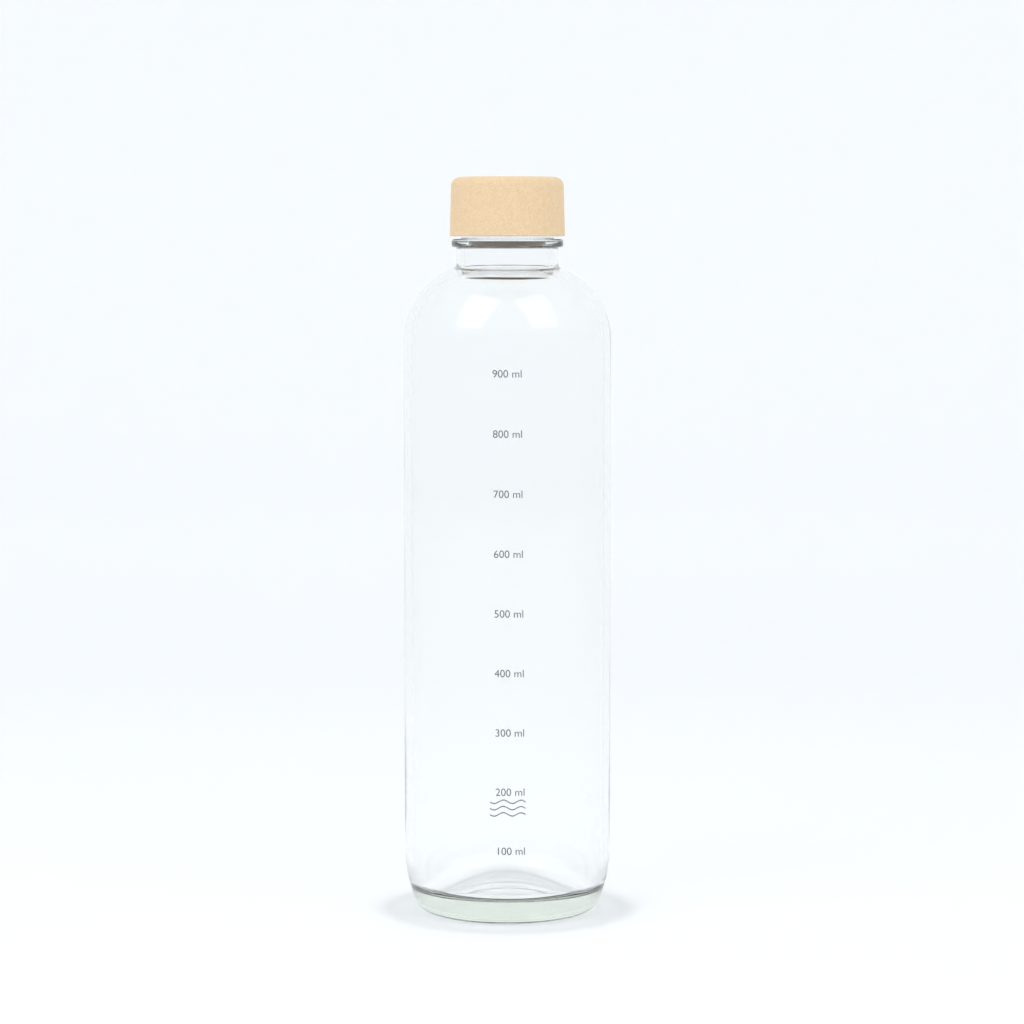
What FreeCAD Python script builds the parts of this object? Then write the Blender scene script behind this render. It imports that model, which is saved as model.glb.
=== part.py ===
"""Glass water bottle with a printed-scale body and a screw cap.

One litre class glass bottle: a thick-based blown body, a neck with a transfer bead and a
three-start thread, and a screw cap made of an outer shell, a threaded insert and a gasket.
The axis is +Z, the origin is the centre of the plane that the base ring stands on, and all
lengths are millimetres. Every size is bound to the sheet called Sizes.
"""
import FreeCAD, Part
import math
import os

import Sketcher

# name: (value, what it is)
SIZES = {
    "body_radius": (40.5, "outside of the straight body"),
    "wall": (3.17, "glass wall of body and shoulder"),
    "shoulder_start": (224.6, "height where the straight body ends"),
    "shoulder_bend": (30.3, "outer radius of the shoulder curve"),
    "shoulder_slope": (21.14, "slope in degrees where the shoulder meets the neck"),
    "neck_radius": (19.85, "outside of the neck"),
    "neck_bend": (1.6, "hollow curve between shoulder and neck"),
    "neck_wall": (3.6, "glass wall of the neck"),
    "inner_neck_bend": (5.0, "curve between shoulder and neck on the inside"),
    "heel_slope": (22.16, "lean in degrees of the heel where it meets the foot"),
    "heel_foot": (34.65, "radius where the leaning heel would meet the ground"),
    "heel_bend": (55.0, "large curve of the heel"),
    "foot_bend": (6.7, "small curve from heel to bearing ring"),
    "ring_inner": (24.0, "inner radius of the bearing ring"),
    "ring_bend": (3.0, "curve from bearing ring into the push-up"),
    "pushup_height": (3.0, "height of the hollow under the base"),
    "pushup_flat": (12.0, "radius of the flat middle of the push-up"),
    "pushup_bend": (30.0, "curve at the edge of that flat"),
    "floor_edge": (9.5, "height where the inner floor would meet the wall"),
    "floor_middle": (11.5, "height of the inner floor at the axis"),
    "floor_flat": (10.0, "radius of the flat middle of the inner floor"),
    "floor_bend": (60.0, "curve at the edge of that flat"),
    "inner_heel_bend": (3.0, "curve from the inner floor to the wall"),
    "bead_bottom": (260.7, "underside of the transfer bead"),
    "bead_top": (263.9, "upper side of the transfer bead"),
    "bead_radius": (21.8, "outside of the transfer bead"),
    "bead_round": (1.0, "rounding of the bead's edges"),
    "bead_root": (0.5, "hollow curve where the bead meets the neck"),
    "finish_radius": (18.0, "outside of the threaded finish between threads"),
    "rim_height": (282.2, "height of the rim"),
    "rim_round": (1.0, "rounding of the rim's edges"),
    "bore_radius": (15.4, "inside of the mouth"),
    "bore_taper_top": (264.0, "height where the mouth starts to widen downwards"),
    "bore_taper_bottom": (260.6, "height where the mouth has widened to the neck"),
    "bore_bend": (1.0, "curve at both ends of that taper"),
    "thread_starts": (3, "number of thread starts"),
    "thread_lead": (12.0, "rise of a thread in one turn"),
    "thread_crest": (0.9, "width of a thread at its crest"),
    "thread_foot": (2.0, "width of a thread at its foot"),
    "thread_sink": (0.2, "depth that a thread's foot is sunk into the wall"),
    "glass_thread_crest": (19.1, "crest radius of the glass thread"),
    "glass_thread_start": (268.2, "height of the middle of the glass thread at its start"),
    "glass_thread_turns": (0.8, "turns of each glass thread"),
    "insert_thread_crest": (18.35, "crest radius of the insert's thread"),
    "insert_thread_drop": (1.6, "distance of the insert's thread below the glass thread"),
    "insert_thread_turns": (0.55, "turns of each insert thread"),
    "insert_thread_rise": (4.0, "height of the insert's thread start above the glass one"),
    "cap_bottom": (265.0, "lower edge of the cap"),
    "cap_top": (287.9, "flat top of the cap"),
    "cap_bottom_radius": (22.47, "outside of the cap at its lower edge"),
    "cap_draft": (1.5, "lean of the cap's side in degrees"),
    "cap_top_round": (3.5, "rounding of the cap's upper edge"),
    "cap_edge_round": (0.4, "rounding of the cap's lower edge"),
    "cap_socket_radius": (20.4, "inside of the shell"),
    "cap_socket_top": (285.45, "underside of the shell's roof"),
    "cap_socket_round": (0.8, "rounding inside the shell's roof"),
    "insert_radius": (20.35, "outside of the insert"),
    "insert_bottom": (265.6, "lower edge of the insert"),
    "insert_top": (285.4, "upper side of the insert's plate"),
    "insert_plate_bottom": (284.3, "underside of the insert's plate"),
    "insert_inner_radius": (19.4, "inside of the insert between threads"),
    "insert_round": (0.3, "rounding of the insert's edges"),
    "insert_top_round": (0.9, "rounding of the insert's upper edge"),
    "retainer_height": (281.85, "height of the ridge that keeps the gasket in"),
    "retainer_depth": (0.7, "how far that ridge stands inwards"),
    "retainer_half": (0.35, "half the height of that ridge at its foot"),
    "gasket_bottom": (282.5, "sealing face of the gasket"),
    "gasket_top": (284.0, "upper face of the gasket"),
    "gasket_outer": (18.9, "outside of the gasket"),
    "gasket_inner": (12.9, "hole of the gasket"),
    "gasket_lip_outer": (15.0, "outside of the lip that centres in the mouth"),
    "gasket_lip_inner": (14.0, "inside of that lip"),
    "gasket_lip_bottom": (281.3, "lower edge of that lip"),
    "gasket_round": (0.3, "rounding of the gasket's edges"),
}

H_AXIS = -1
V_AXIS = -2
START = 1
END = 2
WHOLE = 0
FULL_TURN = 360.0
ZERO = "0"

doc = FreeCAD.newDocument("GlassWaterBottle")
sizes = doc.addObject("Spreadsheet::Sheet", "Sizes")
for row, (name, (value, meaning)) in enumerate(SIZES.items(), start=1):
    sizes.set(f"A{row}", name)
    sizes.set(f"B{row}", str(value))
    sizes.set(f"C{row}", meaning)
    sizes.setAlias(f"B{row}", name)
doc.recompute()


def new_body(label):
    """A PartDesign body whose Label is the name of its part file."""
    body = doc.addObject("PartDesign::Body", label)
    body.Label = label
    body.Placement = FreeCAD.Placement()
    return body


def upright_sketch(body, name):
    """A sketch on the body's own XZ plane: its x is the radius and its y is the height."""
    plane = next(f for f in body.Origin.OriginFeatures if f.Role == "XZ_Plane")
    sketch = body.newObject("Sketcher::SketchObject", name)
    sketch.AttachmentSupport = [(plane, "")]
    sketch.MapMode = "FlatFace"
    doc.recompute()
    return sketch


def number(owner, expression):
    """The present value of an expression as a plain number."""
    result = owner.evalExpression(expression)
    return float(getattr(result, "Value", result))


def bind(sketch, constraint, name, expression):
    """Adds a driving constraint and binds its datum to an expression."""
    index = sketch.addConstraint(constraint)
    sketch.renameConstraint(index, name)
    sketch.setExpression(f"Constraints.{name}", expression)


def place_point(sketch, geometry, point, name, radius, height):
    """Fixes a point by its radius and height, or on an axis where either is zero."""
    if radius == ZERO:
        sketch.addConstraint(Sketcher.Constraint("PointOnObject", geometry, point, V_AXIS))
    else:
        value = number(sketch, radius)
        bind(sketch, Sketcher.Constraint("DistanceX", geometry, point, value), f"{name}_radius", radius)
    if height == ZERO:
        sketch.addConstraint(Sketcher.Constraint("PointOnObject", geometry, point, H_AXIS))
    else:
        value = number(sketch, height)
        bind(sketch, Sketcher.Constraint("DistanceY", geometry, point, value), f"{name}_height", height)


def rounded_corner(before, corner, after, radius):
    """The two tangent points, centre and turn sense of an arc that rounds a corner."""
    towards_before = (before - corner).normalize()
    towards_after = (after - corner).normalize()
    half_angle = towards_before.getAngle(towards_after) / 2
    reach = radius / math.tan(half_angle)
    first = corner + towards_before * reach
    last = corner + towards_after * reach
    middle = (towards_before + towards_after).normalize()
    centre = corner + middle * (radius / math.sin(half_angle))
    turns_left = towards_before.cross(towards_after).z < 0
    return first, last, centre, turns_left


def outline(sketch, corners):
    """Draws a closed outline from (name, radius, height, rounding) corners, fully constrained.

    A rounded corner is an arc tangent to both neighbours, and the corner itself stays as a
    construction point that carries the radius and height.
    """
    points = [FreeCAD.Vector(number(sketch, c[1]), number(sketch, c[2]), 0) for c in corners]
    count = len(corners)
    arrives = list(points)
    leaves = list(points)
    arcs = {}
    for i, (name, radius, height, rounding) in enumerate(corners):
        if rounding is None:
            continue
        arc = rounded_corner(points[i - 1], points[i], points[(i + 1) % count], number(sketch, rounding))
        arrives[i], leaves[i] = arc[0], arc[1]
        arcs[i] = arc
    lines = []
    for i in range(count):
        segment = Part.LineSegment(leaves[i], arrives[(i + 1) % count])
        lines.append(sketch.addGeometry(segment, False))
    for i, (name, radius, height, rounding) in enumerate(corners):
        into, out = lines[i - 1], lines[i]
        if rounding is None:
            sketch.addConstraint(Sketcher.Constraint("Coincident", into, END, out, START))
            place_point(sketch, out, START, name, radius, height)
            continue
        first, last, centre, turns_left = arcs[i]
        a = math.atan2(first.y - centre.y, first.x - centre.x)
        b = math.atan2(last.y - centre.y, last.x - centre.x)
        low, high = (a, b) if turns_left else (b, a)
        circle = Part.Circle(centre, FreeCAD.Vector(0, 0, 1), number(sketch, rounding))
        arc = sketch.addGeometry(Part.ArcOfCircle(circle, low, high), False)
        arc_in, arc_out = (START, END) if turns_left else (END, START)
        sketch.addConstraint(Sketcher.Constraint("Tangent", into, END, arc, arc_in))
        sketch.addConstraint(Sketcher.Constraint("Tangent", arc, arc_out, out, START))
        bind(
            sketch,
            Sketcher.Constraint("Radius", arc, number(sketch, rounding)),
            f"{name}_rounding",
            rounding,
        )
        corner = sketch.addGeometry(Part.Point(points[i]), True)
        sketch.addConstraint(Sketcher.Constraint("PointOnObject", corner, START, into))
        sketch.addConstraint(Sketcher.Constraint("PointOnObject", corner, START, out))
        place_point(sketch, corner, START, name, radius, height)
    doc.recompute()
    free = sketch.solve()
    if free != 0:
        raise RuntimeError(f"{sketch.Name} doesn't solve: {free}")


def turned(body, name, corners):
    """A solid of revolution about +Z from an outline of corners."""
    sketch = upright_sketch(body, f"{name}_outline")
    outline(sketch, corners)
    feature = body.newObject("PartDesign::Revolution", name)
    feature.Profile = sketch
    feature.ReferenceAxis = (sketch, ["V_Axis"])
    feature.Angle = FULL_TURN
    doc.recompute()
    return feature


def threaded(body, name, foot_radius, crest_radius, start_height, turns):
    """Adds the thread: one trapezoid ridge along a helix, repeated for each start."""
    sketch = upright_sketch(body, f"{name}_ridge")
    foot = "Sizes.thread_foot / 2"
    crest = "Sizes.thread_crest / 2"
    corners = [
        (f"{name}_foot_low", foot_radius, f"{start_height} - {foot}", None),
        (f"{name}_crest_low", crest_radius, f"{start_height} - {crest}", None),
        (f"{name}_crest_high", crest_radius, f"{start_height} + {crest}", None),
        (f"{name}_foot_high", foot_radius, f"{start_height} + {foot}", None),
    ]
    outline(sketch, corners)
    helix = body.newObject("PartDesign::AdditiveHelix", name)
    helix.Profile = sketch
    helix.ReferenceAxis = (sketch, ["V_Axis"])
    helix.Mode = "pitch-turns-angle"
    helix.setExpression("Pitch", "Sizes.thread_lead")
    helix.setExpression("Turns", turns)
    helix.LeftHanded = False
    helix.Reversed = False
    doc.recompute()
    starts = body.newObject("PartDesign::PolarPattern", f"{name}_starts")
    starts.Originals = [helix]
    starts.Axis = (sketch, ["V_Axis"])
    starts.Angle = FULL_TURN
    starts.setExpression("Occurrences", "Sizes.thread_starts")
    body.Tip = starts
    doc.recompute()
    return starts


# Heights of the corners where a slope meets a straight stretch, before they are rounded.
SHOULDER_CORNER = "Sizes.shoulder_start + Sizes.shoulder_bend * tan((90 - Sizes.shoulder_slope) / 2)"
NECK_CORNER = f"{SHOULDER_CORNER} + (Sizes.body_radius - Sizes.neck_radius) * tan(Sizes.shoulder_slope)"
HEEL_CORNER = "(Sizes.body_radius - Sizes.heel_foot) / tan(Sizes.heel_slope)"
# The inner shoulder corner lies one wall inside the outer one, on the line that halves the turn.
INNER_SHOULDER_CORNER = f"{SHOULDER_CORNER} - Sizes.wall * tan((90 - Sizes.shoulder_slope) / 2)"
# The inner slope runs from there to the inside of the neck, at the same angle as the outer slope.
INNER_SLOPE_WIDTH = "(Sizes.body_radius - Sizes.wall - Sizes.neck_radius + Sizes.neck_wall)"
INNER_NECK_CORNER = f"{INNER_SHOULDER_CORNER} + {INNER_SLOPE_WIDTH} * tan(Sizes.shoulder_slope)"


def make_glass_bottle():
    """The one-piece glass body: base, straight wall, shoulder, neck, bead and finish."""
    body = new_body("glass_bottle")
    turned(
        body,
        "bottle_wall",
        [
            ("pushup_middle", ZERO, "Sizes.pushup_height", None),
            ("pushup_edge", "Sizes.pushup_flat", "Sizes.pushup_height", "Sizes.pushup_bend"),
            ("ring_inside", "Sizes.ring_inner", ZERO, "Sizes.ring_bend"),
            ("foot", "Sizes.heel_foot", ZERO, "Sizes.foot_bend"),
            ("heel", "Sizes.body_radius", HEEL_CORNER, "Sizes.heel_bend"),
            ("shoulder", "Sizes.body_radius", SHOULDER_CORNER, "Sizes.shoulder_bend"),
            ("neck", "Sizes.neck_radius", NECK_CORNER, "Sizes.neck_bend"),
            ("bead_root", "Sizes.neck_radius", "Sizes.bead_bottom", "Sizes.bead_root"),
            ("bead_low", "Sizes.bead_radius", "Sizes.bead_bottom", "Sizes.bead_round"),
            ("bead_high", "Sizes.bead_radius", "Sizes.bead_top", "Sizes.bead_round"),
            ("finish_root", "Sizes.finish_radius", "Sizes.bead_top", "Sizes.bead_root"),
            ("rim_outside", "Sizes.finish_radius", "Sizes.rim_height", "Sizes.rim_round"),
            ("rim_inside", "Sizes.bore_radius", "Sizes.rim_height", "Sizes.rim_round"),
            ("bore_taper_top", "Sizes.bore_radius", "Sizes.bore_taper_top", "Sizes.bore_bend"),
            (
                "bore_taper_bottom",
                "Sizes.neck_radius - Sizes.neck_wall",
                "Sizes.bore_taper_bottom",
                "Sizes.bore_bend",
            ),
            (
                "inner_neck",
                "Sizes.neck_radius - Sizes.neck_wall",
                INNER_NECK_CORNER,
                "Sizes.inner_neck_bend",
            ),
            (
                "inner_shoulder",
                "Sizes.body_radius - Sizes.wall",
                INNER_SHOULDER_CORNER,
                "Sizes.shoulder_bend - Sizes.wall",
            ),
            ("inner_heel", "Sizes.body_radius - Sizes.wall", "Sizes.floor_edge", "Sizes.inner_heel_bend"),
            ("floor_edge", "Sizes.floor_flat", "Sizes.floor_middle", "Sizes.floor_bend"),
            ("floor_centre", ZERO, "Sizes.floor_middle", None),
        ],
    )
    threaded(
        body,
        "glass_thread",
        "Sizes.finish_radius - Sizes.thread_sink",
        "Sizes.glass_thread_crest",
        "Sizes.glass_thread_start",
        "Sizes.glass_thread_turns",
    )
    return body


def make_cap_shell():
    """The cap's outer shell: a drafted side, a rounded upper edge and a plain socket."""
    body = new_body("cap_shell")
    top_radius = "Sizes.cap_bottom_radius - (Sizes.cap_top - Sizes.cap_bottom) * tan(Sizes.cap_draft)"
    turned(
        body,
        "shell_wall",
        [
            ("socket_middle", ZERO, "Sizes.cap_socket_top", None),
            ("socket_corner", "Sizes.cap_socket_radius", "Sizes.cap_socket_top", "Sizes.cap_socket_round"),
            ("edge_inside", "Sizes.cap_socket_radius", "Sizes.cap_bottom", "Sizes.cap_edge_round"),
            ("edge_outside", "Sizes.cap_bottom_radius", "Sizes.cap_bottom", "Sizes.cap_edge_round"),
            ("top_corner", top_radius, "Sizes.cap_top", "Sizes.cap_top_round"),
            ("top_middle", ZERO, "Sizes.cap_top", None),
        ],
    )
    return body


def make_cap_insert():
    """The threaded insert: a thin cup with the thread and a ridge that keeps the gasket in."""
    body = new_body("cap_insert")
    turned(
        body,
        "insert_cup",
        [
            ("plate_middle", ZERO, "Sizes.insert_plate_bottom", None),
            ("plate_corner", "Sizes.insert_inner_radius", "Sizes.insert_plate_bottom", None),
            ("retainer_high", "Sizes.insert_inner_radius", "Sizes.retainer_height + Sizes.retainer_half", None),
            ("retainer_crest", "Sizes.insert_inner_radius - Sizes.retainer_depth", "Sizes.retainer_height", None),
            ("retainer_low", "Sizes.insert_inner_radius", "Sizes.retainer_height - Sizes.retainer_half", None),
            ("edge_inside", "Sizes.insert_inner_radius", "Sizes.insert_bottom", "Sizes.insert_round"),
            ("edge_outside", "Sizes.insert_radius", "Sizes.insert_bottom", "Sizes.insert_round"),
            ("top_corner", "Sizes.insert_radius", "Sizes.insert_top", "Sizes.insert_top_round"),
            ("top_middle", ZERO, "Sizes.insert_top", None),
        ],
    )
    threaded(
        body,
        "insert_thread",
        "Sizes.insert_inner_radius + Sizes.thread_sink",
        "Sizes.insert_thread_crest",
        "Sizes.glass_thread_start + Sizes.insert_thread_rise - Sizes.insert_thread_drop",
        "Sizes.insert_thread_turns",
    )
    return body


def make_sealing_gasket():
    """The gasket: a flat ring over the rim with a lip that centres in the mouth."""
    body = new_body("sealing_gasket")
    turned(
        body,
        "gasket_ring",
        [
            ("inner_low", "Sizes.gasket_inner", "Sizes.gasket_bottom", "Sizes.gasket_round"),
            ("lip_root_in", "Sizes.gasket_lip_inner", "Sizes.gasket_bottom", None),
            ("lip_low_in", "Sizes.gasket_lip_inner", "Sizes.gasket_lip_bottom", "Sizes.gasket_round"),
            ("lip_low_out", "Sizes.gasket_lip_outer", "Sizes.gasket_lip_bottom", "Sizes.gasket_round"),
            ("lip_root_out", "Sizes.gasket_lip_outer", "Sizes.gasket_bottom", None),
            ("outer_low", "Sizes.gasket_outer", "Sizes.gasket_bottom", "Sizes.gasket_round"),
            ("outer_high", "Sizes.gasket_outer", "Sizes.gasket_top", "Sizes.gasket_round"),
            ("inner_high", "Sizes.gasket_inner", "Sizes.gasket_top", "Sizes.gasket_round"),
        ],
    )
    return body


def check_document():
    """Stops if any object of the document failed to compute."""
    for item in doc.Objects:
        if "Invalid" in item.State or "Error" in item.State:
            raise RuntimeError(f"{item.Label} failed: {item.State}")


def check_part(part):
    """Stops if a sub-part has no valid solid of its own."""
    if part.Shape.isNull() or not part.Shape.isValid():
        raise RuntimeError(f"{part.Label} has no valid shape")
    if len(part.Shape.Solids) != 1:
        raise RuntimeError(f"{part.Label} has {len(part.Shape.Solids)} solids")


pieces = [make_glass_bottle(), make_cap_shell(), make_cap_insert(), make_sealing_gasket()]
doc.recompute()
check_document()
os.makedirs("parts", exist_ok=True)
for piece in pieces:
    check_part(piece)
    piece.Shape.exportStep(f"parts/{piece.Label}.step")
    print(piece.Label, round(piece.Shape.Volume / 1000, 2), "cm3")
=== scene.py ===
"""A screw-capped glass water bottle in a white studio.

Every piece is turned about the bottle's axis, so one Geometry Nodes tree makes them all from
outlines of rounded corners, and cuts the screw threads of the mouth and the cap insert. A
second tree bends the printed volume scale round the glass. Outlines are in millimetres, with
+Z up and the scale facing -Y, and the finished meshes are in metres.
"""

import logging
import math
from dataclasses import dataclass, field
from enum import Enum
from typing import Any, ClassVar, Optional, Protocol

import bmesh
import bpy
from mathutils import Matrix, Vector


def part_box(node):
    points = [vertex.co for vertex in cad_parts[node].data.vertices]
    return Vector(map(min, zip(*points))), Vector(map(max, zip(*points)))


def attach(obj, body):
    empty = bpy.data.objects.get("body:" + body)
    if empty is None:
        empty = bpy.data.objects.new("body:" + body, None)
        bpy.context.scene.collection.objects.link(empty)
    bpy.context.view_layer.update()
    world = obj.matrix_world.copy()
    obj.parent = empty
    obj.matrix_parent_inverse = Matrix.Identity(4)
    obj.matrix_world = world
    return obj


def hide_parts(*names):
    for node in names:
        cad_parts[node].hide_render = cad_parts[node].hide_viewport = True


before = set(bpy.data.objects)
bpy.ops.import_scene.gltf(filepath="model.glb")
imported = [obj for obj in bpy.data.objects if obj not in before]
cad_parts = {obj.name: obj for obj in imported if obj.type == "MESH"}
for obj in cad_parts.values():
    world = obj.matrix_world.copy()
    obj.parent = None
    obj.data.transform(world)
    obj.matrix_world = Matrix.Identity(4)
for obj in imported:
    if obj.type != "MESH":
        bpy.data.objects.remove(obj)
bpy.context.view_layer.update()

logging.basicConfig(level=logging.INFO, format="%(message)s")
LOG = logging.getLogger("bottle")

MM = 0.001
# Sockets of the Mix node that hold colours: the two inputs and the result.
COLOUR_A, COLOUR_B, COLOUR_RESULT = 6, 7, 2


class Body(Enum):
    """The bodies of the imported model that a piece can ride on."""

    BOTTLE = "bottle"
    SEAL = "seal"
    CAP = "cap"


class Slot(Enum):
    """The record's material slots."""

    GLASS = "bottle_glass"
    COMPOSITE = "wood_composite"
    INSERT = "insert_plastic"
    GASKET = "gasket_rubber"
    INK = "scale_ink"


def linear(hex_colour: str) -> tuple[float, float, float, float]:
    """Turns an sRGB hex colour into the linear colour that a shader socket takes.

    Args:
        hex_colour: The colour as six hex digits.

    Returns:
        Linear red, green and blue, and an alpha of one.
    """
    channels = [int(hex_colour[i : i + 2], 16) / 255 for i in (0, 2, 4)]
    red, green, blue = (c / 12.92 if c <= 0.04045 else ((c + 0.055) / 1.055) ** 2.4 for c in channels)
    return red, green, blue, 1.0


def add_node(
    tree: bpy.types.NodeTree,
    kind: str,
    settings: Optional[dict[str, Any]] = None,
    inputs: Optional[dict[Any, Any]] = None,
) -> bpy.types.Node:
    """Adds a node with its settings, socket values and incoming links.

    Args:
        tree: The node tree that the node joins.
        kind: The node's type name.
        settings: The node's own properties, by name.
        inputs: A value, or another node's output to link, by socket name or index.

    Returns:
        The new node.
    """
    node = tree.nodes.new(kind)
    for name, value in (settings or {}).items():
        setattr(node, name, value)
    for socket, value in (inputs or {}).items():
        if isinstance(value, bpy.types.NodeSocket):
            tree.links.new(value, node.inputs[socket])
        else:
            node.inputs[socket].default_value = value
    return node


# ---------------------------------------------------------------- finishes


def blank_material(name: str) -> tuple[bpy.types.Material, bpy.types.NodeTree, bpy.types.Node]:
    """Makes a material that holds only its output node.

    Args:
        name: The material's name.

    Returns:
        The material, its node tree and its output node.
    """
    material = bpy.data.materials.new(name)
    material.use_nodes = True
    tree = material.node_tree
    tree.nodes.clear()
    return material, tree, add_node(tree, "ShaderNodeOutputMaterial")


@dataclass(frozen=True)
class Grain:
    """One layer of noise, stated by the real size of what it draws."""

    size_mm: float
    detail: float = 2.0
    roughness: float = 0.5
    stretch: tuple[float, float, float] = (1.0, 1.0, 1.0)

    def noise(self, tree: bpy.types.NodeTree) -> bpy.types.NodeSocket:
        """Adds the noise on the piece's own coordinates.

        Args:
            tree: The material's node tree.

        Returns:
            The noise's value, from 0 to 1.
        """
        place = add_node(tree, "ShaderNodeTexCoord")
        mapping = add_node(
            tree, "ShaderNodeMapping", inputs={"Vector": place.outputs["Object"], "Scale": self.stretch}
        )
        settings = {
            "Vector": mapping.outputs["Vector"],
            "Scale": 1 / (self.size_mm * MM),
            "Detail": self.detail,
            "Roughness": self.roughness,
        }
        return add_node(tree, "ShaderNodeTexNoise", inputs=settings).outputs["Fac"]

    def coloured(
        self, tree: bpy.types.NodeTree, low: tuple[float, str], high: tuple[float, str]
    ) -> bpy.types.NodeSocket:
        """Adds the noise and colours it by a ramp.

        Args:
            tree: The material's node tree.
            low: The noise value and sRGB hex colour where the ramp starts.
            high: The noise value and sRGB hex colour where the ramp ends.

        Returns:
            The colour.
        """
        node = add_node(tree, "ShaderNodeValToRGB", inputs={"Fac": self.noise(tree)})
        for stop, (position, colour) in zip(node.color_ramp.elements, (low, high)):
            stop.position = position
            stop.color = linear(colour)
        return node.outputs["Color"]


class Finish(Protocol):
    """What a piece is made of and how its surface was made."""

    def material(self) -> bpy.types.Material:
        """Builds the material."""


@dataclass(frozen=True)
class SodaLimeGlass:
    """Blown, fire-polished soda-lime glass: clear, and green only where it is thick."""

    index: float = 1.52
    tint: str = "c8d8b8"
    density_per_m: float = 7.0
    ripple: Grain = Grain(34.0, detail=1.0)
    ripple_depth_mm: float = 0.004

    def material(self) -> bpy.types.Material:
        """Builds clear glass with the slow ripple that the mould leaves."""
        material, tree, out = blank_material("soda_lime_glass_blown")
        bump = add_node(
            tree,
            "ShaderNodeBump",
            inputs={
                "Height": self.ripple.noise(tree),
                "Distance": self.ripple_depth_mm * MM,
                "Strength": 1.0,
            },
        )
        surface = add_node(
            tree,
            "ShaderNodeBsdfPrincipled",
            inputs={
                "Base Color": linear("ffffff"),
                "Roughness": 0.0,
                "IOR": self.index,
                "Transmission Weight": 1.0,
                "Normal": bump.outputs["Normal"],
            },
        )
        body = add_node(
            tree,
            "ShaderNodeVolumeAbsorption",
            inputs={"Color": linear(self.tint), "Density": self.density_per_m},
        )
        tree.links.new(surface.outputs["BSDF"], out.inputs["Surface"])
        tree.links.new(body.outputs["Volume"], out.inputs["Volume"])
        return material


@dataclass(frozen=True)
class WoodFibreComposite:
    """Moulded wood-fibre composite: matt beige resin, with fine pale and dark fibres."""

    resin: str = "efd0a6"
    shade: str = "e6c496"
    speck: str = "f8e2c2"
    mottle: Grain = Grain(2.2, detail=3.0, roughness=0.6)
    fibre: Grain = Grain(0.34, detail=1.0, roughness=0.6, stretch=(1.0, 1.0, 0.7))
    roughness: float = 0.62
    tooth_mm: float = 0.03

    def material(self) -> bpy.types.Material:
        """Builds the speckled resin with a slight tooth."""
        material, tree, out = blank_material("wood_fibre_composite_moulded")
        mottled = self.mottle.coloured(tree, (0.35, self.shade), (0.65, self.resin))
        flecked = self.fibre.coloured(tree, (0.40, self.shade), (0.64, self.speck))
        mixed = add_node(
            tree,
            "ShaderNodeMix",
            {"data_type": "RGBA"},
            {"Factor": 0.5, COLOUR_A: mottled, COLOUR_B: flecked},
        )
        bump = add_node(
            tree,
            "ShaderNodeBump",
            inputs={"Height": self.fibre.noise(tree), "Distance": self.tooth_mm * MM, "Strength": 0.6},
        )
        surface = add_node(
            tree,
            "ShaderNodeBsdfPrincipled",
            inputs={
                "Base Color": mixed.outputs[COLOUR_RESULT],
                "Roughness": self.roughness,
                "Normal": bump.outputs["Normal"],
            },
        )
        tree.links.new(surface.outputs["BSDF"], out.inputs["Surface"])
        return material


@dataclass(frozen=True)
class Moulded:
    """A plain moulded or printed material, with a fine grain in its colour and its surface."""

    name: str
    colour: str
    shade: str
    roughness: float
    grain: Grain
    tooth_mm: float
    subsurface: float = 0.0

    def material(self) -> bpy.types.Material:
        """Builds the material."""
        material, tree, out = blank_material(self.name)
        bump = add_node(
            tree,
            "ShaderNodeBump",
            inputs={"Height": self.grain.noise(tree), "Distance": self.tooth_mm * MM, "Strength": 0.5},
        )
        surface = add_node(
            tree,
            "ShaderNodeBsdfPrincipled",
            inputs={
                "Base Color": self.grain.coloured(tree, (0.3, self.shade), (0.7, self.colour)),
                "Roughness": self.roughness,
                "Subsurface Weight": self.subsurface,
                "Subsurface Scale": MM,
                "Normal": bump.outputs["Normal"],
            },
        )
        tree.links.new(surface.outputs["BSDF"], out.inputs["Surface"])
        return material


# Moulded polypropylene with the soft sheen of a spark-eroded mould, coloured dark warm brown as painted
# shade: it stands in for the shaded inside of the cap seen through the glass bead.
PAINTED_SHADE_POLYPROPYLENE = Moulded("polypropylene_painted_shade_brown", "93806e", "83705e", 0.45, Grain(0.6), 0.01)
# Silicone rubber, cloudy white, pressed in a polished mould and dusty to the touch.
SILICONE = Moulded("silicone_pressed", "e9e8e2", "dcdad2", 0.38, Grain(1.2), 0.01, 0.25)
# Ceramic ink, screen printed and fired into the glass: flat grey with a granular edge.
CERAMIC_INK = Moulded("ceramic_ink_fired", "6f747b", "5c6168", 0.55, Grain(0.25), 0.005)


# ---------------------------------------------------------------- geometry node trees


def work_out(
    tree: bpy.types.NodeTree,
    known: dict[str, Any],
    steps: tuple[tuple[Any, ...], ...],
) -> None:
    """Turns lines of arithmetic into linked nodes.

    Args:
        tree: The node tree that holds them.
        known: Outputs and numbers by name. Each step adds its own result.
        steps: Result name, operation and operands, which are names from known or plain numbers.
    """
    for result, operation, *operands in steps:
        values = {i: known[x] if isinstance(x, str) else x for i, x in enumerate(operands)}
        known[result] = add_node(tree, "ShaderNodeMath", {"operation": operation}, values).outputs[0]


def new_tree(name: str, inputs: dict[str, str]) -> tuple[bpy.types.NodeTree, dict[str, Any]]:
    """Starts a geometry node tree with a geometry input and output and named inputs.

    Args:
        name: The tree's name.
        inputs: The kind of socket by the input's name.

    Returns:
        The tree, and its inputs as outputs of the group input node, by name.
    """
    tree = bpy.data.node_groups.new(name, "GeometryNodeTree")
    tree.interface.new_socket("Geometry", in_out="INPUT", socket_type="NodeSocketGeometry")
    tree.interface.new_socket("Geometry", in_out="OUTPUT", socket_type="NodeSocketGeometry")
    for label, kind in inputs.items():
        tree.interface.new_socket(label, in_out="INPUT", socket_type=f"NodeSocket{kind}")
    entry = add_node(tree, "NodeGroupInput")
    return tree, {socket.name: socket for socket in entry.outputs if socket.name}


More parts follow.
